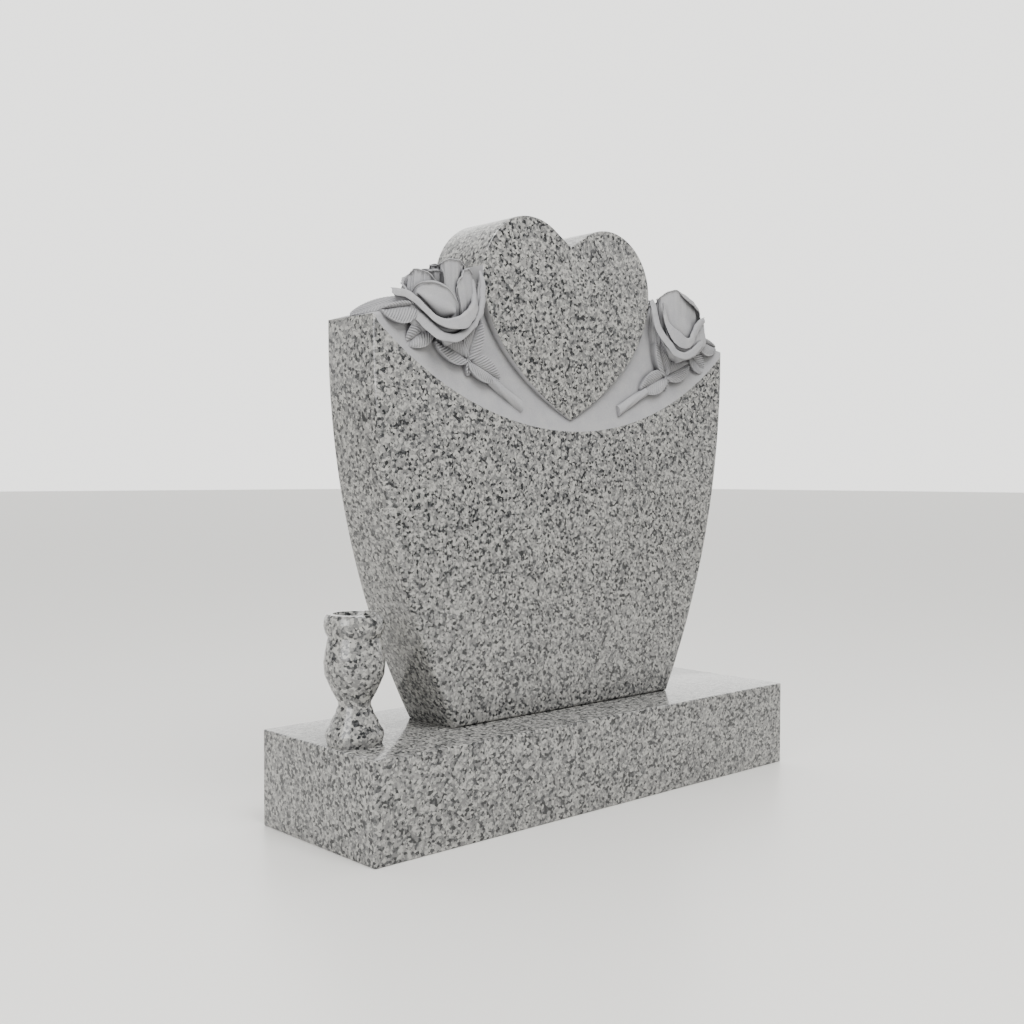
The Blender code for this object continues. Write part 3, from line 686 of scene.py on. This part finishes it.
carving = matt_granite("carving_matt", CARVING_SHADE_REACH)
for side, petals in (("left", PETALS), ("right", RIGHT_PETALS)):
    right = side == "right"
    bm = bmesh.new()
    core = bmesh.ops.create_uvsphere(bm, u_segments=48, v_segments=24, radius=1.0)
    for vert in core["verts"]:
        vert.co = ROSE_FOOT + vert.co * BLOOM_CORE + BLOOM_CORE_RISE
    for values in petals.values():
        petal(bm, **values)
    spray("rose_bloom_" + side, bm, right)
    bm = bmesh.new()
    for values in LEAVES:
        placed = dict(values)
        drift = Vector((placed.pop("drift", 0.0), 0, 0))
        if right:
            placed.update(base=Vector(placed["base"]) - drift, tip=Vector(placed["tip"]) - drift)
        leaf(bm, **placed)
    stem(bm, STEM_DRIFT if right else 0.0)
    spray("rose_leaves_" + side, bm, right)


# Vase: turned on a lathe from the same granite and polished, with a bored mouth for cut flowers. It stands
# on the left end of the base, in front of the tablet.
VASE_AT = (-0.4425, -0.0335)
VASE_OUTSIDE = ((0.0325, 0.1970), (0.0415, 0.1970), (0.0452, 0.1900), (0.0467, 0.1800), (0.0442, 0.1690),
                (0.0400, 0.1620), (0.0438, 0.1430), (0.0468, 0.1240), (0.0450, 0.1050), (0.0350, 0.0820),
                (0.0250, 0.0640), (0.0248, 0.0580), (0.0278, 0.0520), (0.0288, 0.0470), (0.0360, 0.0350),
                (0.0365, 0.0310), (0.0437, 0.0200), (0.0447, 0.0130), (0.0412, 0.0))
VASE_BORE = ((0.0001, 0.084), (0.0160, 0.0900), (0.0280, 0.1020), (0.0300, 0.1900))
VASE_SIDES = 128


def turned(profile, foot):
    """Rings of a lathe-turned profile of radius and height."""
    turns = [2 * math.pi * k / VASE_SIDES for k in range(VASE_SIDES)]
    middle_x, middle_y = VASE_AT
    return [[(middle_x + r * math.cos(a), middle_y + r * math.sin(a), foot + z) for a in turns] for r, z in profile]


bm = bmesh.new()
loft(bm, turned(VASE_BORE + VASE_OUTSIDE, TABLET_FOOT))
vase = carve("turned_vase", bm, polished_granite("vase_polish"))
shaded(vase.data, angle=30)
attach(vase, "root")
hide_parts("vase")


# Studio: a plain pale floor, a pale surround that is brighter behind the stone, two broad soft lights
# overhead and at the left, and the camera at the viewing angle.
CAMERA_AT = Vector((-1.5079, -1.5416, 0.5597))
CAMERA_YAW = 0.7439
CAMERA_PITCH = 0.0299
CAMERA_ROLL = 0.0016
FOCAL_PIXELS = 1218.9
FRAME_PIXELS = 1024
SENSOR_WIDTH = 36.0
FLOOR_REACH = 40
FLOOR_COLOUR = (0.80, 0.79, 0.76, 1.0)
FLOOR_ROUGHNESS = 0.35
SURROUND_COLOUR = (0.96, 0.955, 0.93, 1.0)
FRONT_GLOW = 0.32
BACK_GLOW = 2.4
GLOW_FROM = -0.2
GLOW_TO = 0.75
LIGHTS = (dict(name="overhead", place=(-0.5, -1.7, 3.1), power=145.0),
          dict(name="side", place=(-3.2, -0.9, 1.3), power=75.0))
LIGHT_WIDTH = 1.8
LIGHTS_AIM = Vector((0, 0, 0.7))

floor_material, floor_shader, _ = stone_material("floor_paint")
floor_shader.inputs["Base Color"].default_value = FLOOR_COLOUR
floor_shader.inputs["Roughness"].default_value = FLOOR_ROUGHNESS
bm = bmesh.new()
bm.faces.new([bm.verts.new((FLOOR_REACH * x, FLOOR_REACH * y, 0)) for x, y in ((-1, -1), (1, -1), (1, 1), (-1, 1))])
floor = carve("floor", bm, floor_material)

world = bpy.data.worlds.new("pale")
world.use_nodes = True
air = Grain(world.node_tree)
sight = air.node("ShaderNodeTexCoord", out="Generated")
away = air.node("ShaderNodeVectorMath", {"operation": "DOT_PRODUCT"},
                {0: sight, 1: (math.sin(CAMERA_YAW), math.cos(CAMERA_YAW), 0.0)}, out="Value")
glow = air.node("ShaderNodeMapRange", {"interpolation_type": "SMOOTHSTEP"},
                {"Value": away, "From Min": GLOW_FROM, "From Max": GLOW_TO,
                 "To Min": FRONT_GLOW, "To Max": BACK_GLOW})
surround = world.node_tree.nodes["Background"]
surround.inputs["Color"].default_value = SURROUND_COLOUR
glow.feeds(surround, "Strength")
bpy.context.scene.world = world

for light in LIGHTS:
    lamp = bpy.data.lights.new(light["name"], "AREA")
    lamp.size = LIGHT_WIDTH
    lamp.energy = light["power"]
    holder = bpy.data.objects.new(light["name"], lamp)
    holder.location = light["place"]
    holder.rotation_euler = (LIGHTS_AIM - holder.location).to_track_quat("-Z", "Y").to_euler()
    bpy.context.scene.collection.objects.link(holder)

forward = Vector((math.sin(CAMERA_YAW) * math.cos(CAMERA_PITCH), math.cos(CAMERA_YAW) * math.cos(CAMERA_PITCH),
                  -math.sin(CAMERA_PITCH)))
across = Vector((math.cos(CAMERA_YAW), -math.sin(CAMERA_YAW), 0))
upward = across.cross(forward)
right = across * math.cos(CAMERA_ROLL) + upward * math.sin(CAMERA_ROLL)
up = upward * math.cos(CAMERA_ROLL) - across * math.sin(CAMERA_ROLL)
camera = bpy.data.objects.new("camera", bpy.data.cameras.new("camera"))
camera.matrix_world = Matrix.Translation(CAMERA_AT) @ Matrix((right, up, -forward)).transposed().to_4x4()
camera.data.sensor_width = SENSOR_WIDTH
camera.data.lens = FOCAL_PIXELS * SENSOR_WIDTH / FRAME_PIXELS
bpy.context.scene.collection.objects.link(camera)
bpy.context.scene.camera = camera
